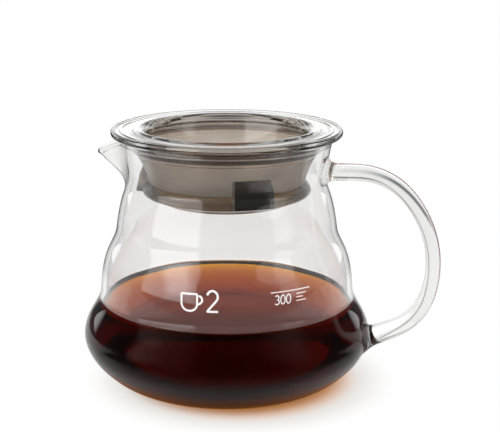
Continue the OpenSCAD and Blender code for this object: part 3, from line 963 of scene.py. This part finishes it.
def pale_floor():
    """The floor's paper, its own light with a painted shadow and a painted brown
    and amber glow in it, and the painted reflection that gloss sees of it. off
    and shadow are the distances from the axis and from the shadow's middle, and
    depth is the way behind the axis, away from the front."""
    m = Recipe("pale_floor")
    path = m.light_path()
    seen, passed = path["Is Camera Ray"], path["Is Transmission Ray"]
    x, y, _ = m.xyz()
    off = m.radius(x, y)
    shadow = m.radius(m.minus(x, SHADOW_X), m.minus(y, SHADOW_Y))
    a = math.radians(FACED)
    depth = m.plus(m.times(x, -math.cos(a)), m.times(y, -math.sin(a)))
    paper = m.node("ShaderNodeBsdfDiffuse",
                   {"Color": m.level(m.ramp(m.noise(14, 3), 0.3, 0.7, 0.90, 0.93))})
    # share of its own light, seen straight: all but at the foot
    straight = m.plus(m.ramp(shadow, 0.029, 0.034, 0.0, 0.78),
                      m.ramp(shadow, 0.035, 0.062, 0.0, 0.20))
    # and through glass, painted lighter and darker by place: round the foot, far
    # off, and behind
    glassy = m.plus(m.ramp(off, 0.065, 0.095, 0.9, 0.45),
                    m.ramp(off, 0.10, 0.30, 0.0, 0.55))
    glassy = m.times(glassy, m.ramp(off, 0.031, 0.042))
    glassy = m.math("MAXIMUM", glassy, m.ramp(depth, -0.02, 0.035, 0.37, 0.72))
    # painted shade in reflection: what the inside of a wall mirrors is dark far in
    # front
    once = m.math("MINIMUM", path["Glossy Depth"], 1.0)
    front = m.times(m.ramp(depth, -0.20, -0.09, 1.0, 0.0), once)
    glassy = m.math("MAXIMUM", glassy, front)
    share = m.plus(m.times(seen, straight), m.times(passed, glassy), clamp=True)
    # painted shadow and painted brown glow round the foot, in place of the light
    # that comes down through the coffee
    shadow_and_glow = m.mix(m.ramp(shadow, 0.038, 0.058), SHADOW_TINT, WHITE)
    shadow_and_glow = m.mix(m.ramp(shadow, 0.033, 0.045), FOOT_GLOW_PAINT, shadow_and_glow)
    glow_under = m.mix(m.ramp(off, 0.034, 0.043), UNDER_GLOW_PAINT, WHITE)
    # painted light: through glass it is brighter in a patch close behind
    patch = m.times(m.ramp(depth, 0.0, 0.02), m.ramp(off, 0.070, 0.095, 0.75, 0.0))
    power = m.times(m.minus(patch, m.times(front, 0.88)), passed)
    light = m.node("ShaderNodeEmission",
                   {"Color": m.mix(seen, glow_under, shadow_and_glow),
                    "Strength": m.plus(1.0, power)})
    plain = m.node("ShaderNodeMixShader",
                   {0: share, 1: paper.outputs[0], 2: light.outputs[0]})
    # painted reflection: in gloss it is bright near the object, and amber under the
    # coffee
    before = m.ramp(off, 0.080, 0.115, 0.62, 0.06)
    behind = m.ramp(depth, 0.11, 0.19, 0.8, 0.10)
    is_behind = m.ramp(depth, -0.012, 0.012)
    bright = m.plus(m.times(is_behind, behind),
                    m.times(m.minus(1.0, is_behind), before))
    amber = m.mix(m.ramp(off, 0.040, 0.056), GLEAM_AMBER, WHITE)
    gleam = m.node("ShaderNodeEmission", {"Color": amber, "Strength": bright})
    mirror = m.times(path["Is Reflection Ray"], m.minus(1.0, path["Is Diffuse Ray"]))
    return m.surface(m.node("ShaderNodeMixShader",
                            {0: mirror, 1: plain.outputs[0], 2: gleam.outputs[0]}))


# Windows of the studio: turn from the front to the right, and height, from and
# to, in degrees
LEFT_WINDOW, RIGHT_WINDOW = (-83, -28, -8, 38), (50, 70, -8, 38)
FAR_WINDOW = (-177.75, -176.1, 14.8, 17.6)


def make_world():
    """Soft studio round the object. What lights it is one even pale sky. What
    glass shows through itself is white low down and greyer straight behind.
    What gloss mirrors is pale behind, dark in front, with two upright
    windows."""
    world = bpy.data.worlds.new("studio")
    bpy.context.scene.world = world
    m = Recipe("studio", world)
    path = m.light_path()
    once = m.math("MINIMUM", path["Glossy Depth"], 1.0)
    way = m.node("ShaderNodeTexCoord").outputs["Generated"]
    x, y, z = m.node("ShaderNodeSeparateXYZ", {"Vector": way}).outputs
    a = math.radians(FACED)
    ahead = m.plus(m.times(x, math.cos(a)), m.times(y, math.sin(a)))
    right = m.plus(m.times(x, -math.sin(a)), m.times(y, math.cos(a)))
    high = m.math("ARCSINE", z)
    turn = m.math("ARCTAN2", right, ahead)  # 0 towards the front

    def span(value, lo, hi, to_lo=0.0, to_hi=1.0):
        """A ramp between two angles in degrees."""
        return m.ramp(value, math.radians(lo), math.radians(hi), to_lo, to_hi)

    def window(lo, hi, low, top, soft):
        """1 inside a span of turn and height, soft at its edges."""
        s = m.times(span(turn, lo - soft, lo + soft),
                    span(turn, hi - soft, hi + soft, 1.0, 0.0))
        v = m.times(span(high, low - soft, low + soft),
                    span(high, top - soft, top + soft, 1.0, 0.0))
        return m.times(s, v)

    def pick(share, p, q):
        n = m.node("ShaderNodeMix", {0: share, 2: p, 3: q}, data_type="FLOAT")
        return n.outputs[0]

    panes = m.plus(m.times(window(*LEFT_WINDOW, 2.5), 1.9),
                   m.times(window(*RIGHT_WINDOW, 2.5), 1.0))
    # through glass: grey in a patch straight behind, white low down
    aside = m.ramp(ahead, -0.97, -0.90)
    grey_patch = m.plus(span(high, 16, 17.2, 0.20, 0.29), m.times(aside, 0.50))
    rise = span(high, 7, 13)
    through = m.plus(m.minus(1.0, rise), m.times(rise, grey_patch))
    through = m.plus(through, span(high, 25, 38, 0.0, 0.45), clamp=True)
    through = m.times(through, span(high, 60, 80, 1.0, 0.35))
    inner = m.times(m.ramp(ahead, 0.2, 0.7, 0.0, 0.6), once)
    through = m.times(through, m.minus(1.0, inner))
    through = m.plus(through, m.times(panes, 0.7))
    # a far bright opening that the coffee's surface mirrors
    through = m.plus(through, m.times(window(*FAR_WINDOW, 0.5), 1.4))
    # in gloss
    behind = m.ramp(ahead, -0.60, -0.70)
    mirrored = m.times(behind, span(high, 11, 22, 1.7, 0.50))
    mirrored = m.plus(mirrored, span(high, 42, 60, 0.04, 0.75))
    mirrored = m.plus(mirrored, panes)
    is_mirror = m.times(path["Is Reflection Ray"],
                        m.minus(1.0, path["Is Diffuse Ray"]))
    level = pick(is_mirror, span(high, -5, 50, 0.80, 0.95), mirrored)
    level = pick(path["Is Transmission Ray"], level, through)
    level = pick(path["Is Camera Ray"], level, 1.0)
    m.surface(m.node("ShaderNodeBackground", {"Color": WHITE, "Strength": level}))


def make_lamp(name, place, size, power):
    """A round lamp that is seen neither straight nor in gloss."""
    light = bpy.data.lights.new(name, "AREA")
    light.shape, light.size, light.energy = "DISK", size, power
    lamp = added(name, light)
    lamp.location = place
    lamp.visible_glossy = False
    lamp.visible_camera = False
    return lamp


def make_lamps():
    """A broad key from the upper left and a weaker fill from the right, both
    turned to the object, and the brown light that the coffee throws on the
    floor round the foot."""
    for name, place, size, power in (
        ("key", (-0.9, -0.5, 1.1), 1.0, 9.0),
        ("fill", (1.0, -0.4, 0.8), 0.9, 3.0),
    ):
        lamp = make_lamp(name, place, size, power)
        x, y, z = np.array(place) - [0, 0, 0.05]
        lamp.rotation_euler = (
            math.atan2(math.hypot(x, y), z), 0, math.atan2(y, x) + math.pi / 2,
        )
    glow = make_lamp("glow", (0.005, -0.002, 0.0022), 0.086, 0.012)
    glow.data.color = (1.0, 0.43, 0.11)
    glow.visible_transmission = False


def make_camera():
    data = bpy.data.cameras.new("camera")
    data.sensor_width, data.lens, data.shift_x = 36, 90, 0.0466
    data.clip_start, data.clip_end = 0.01, 20
    camera = added("camera", data)
    camera.location = (0.1118, -0.4324, 0.1716)
    camera.rotation_euler = (math.radians(76.07), 0, math.radians(14.5))
    bpy.context.scene.camera = camera


make_floor()
make_world()
make_lamps()
make_camera()

scene = bpy.context.scene
scene.view_settings.view_transform = "Standard"
scene.cycles.max_bounces = 32
scene.cycles.transmission_bounces = 28
scene.cycles.glossy_bounces = 8
scene.cycles.diffuse_bounces = 3
scene.cycles.transparent_max_bounces = 24
scene.cycles.sample_clamp_indirect = 4.0
